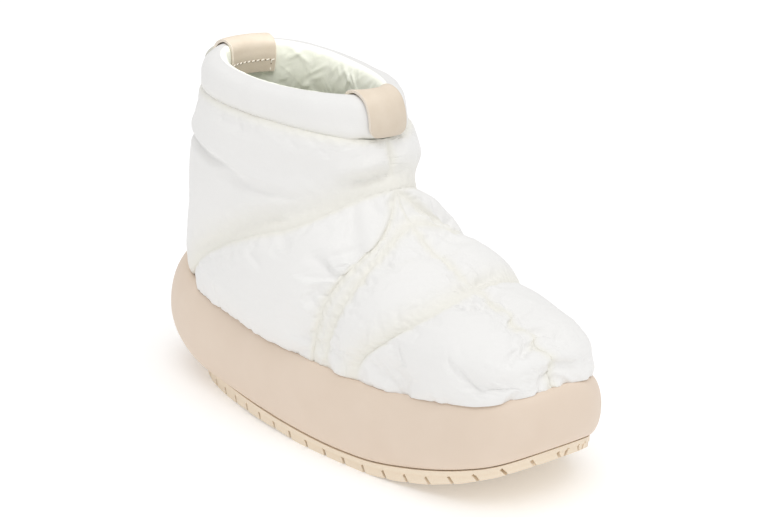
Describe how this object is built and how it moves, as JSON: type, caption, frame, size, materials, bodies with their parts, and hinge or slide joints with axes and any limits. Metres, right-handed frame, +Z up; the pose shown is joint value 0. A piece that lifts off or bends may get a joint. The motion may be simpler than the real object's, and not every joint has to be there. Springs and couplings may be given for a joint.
{
  "type": "padded boot",
  "caption": "Padded ankle boot for the right foot: quilted nylon upper with stuffed collar and pull loops on a thick leather-wrapped platform sole with a lugged rubber tread.",
  "frame": {"origin": "on the floor, under the middle of the boot's box", "axes": "+X to the toe, +Y to the wearer's left, which is the inner side of this right boot, +Z up"},
  "size_m": [0.3012, 0.1158, 0.1852],
  "materials": {
    "cream_rubber": "matte moulded rubber",
    "wrapped_leather": "smooth matte leather wrapped over foam",
    "felt_footbed": "brushed lining cloth",
    "padded_nylon": "white matte nylon over padding",
    "strap_leather": "smooth semi-matte leather",
    "braided_cord": "white braid",
    "grey_plastic": "moulded satin plastic"
  },
  "bodies": {
    "boot": {"outsole": "cream_rubber", "midsole": "wrapped_leather", "insole": "felt_footbed", "upper": "padded_nylon", "collar": "padded_nylon", "back_stay": "strap_leather", "front_pull_loop": "strap_leather", "rear_pull_loop": "strap_leather", "drawcord": "braided_cord", "cord_lock_body": "grey_plastic"},
    "button": {"cord_lock_button": "grey_plastic"}
  },
  "joints": [
    {"name": "button_press", "type": "slide", "parent": "boot", "child": "button", "axis": [0.829, 0, -0.5592], "range_m": [0, 0.0015], "stiffness_N_per_m": 800}
  ]
}
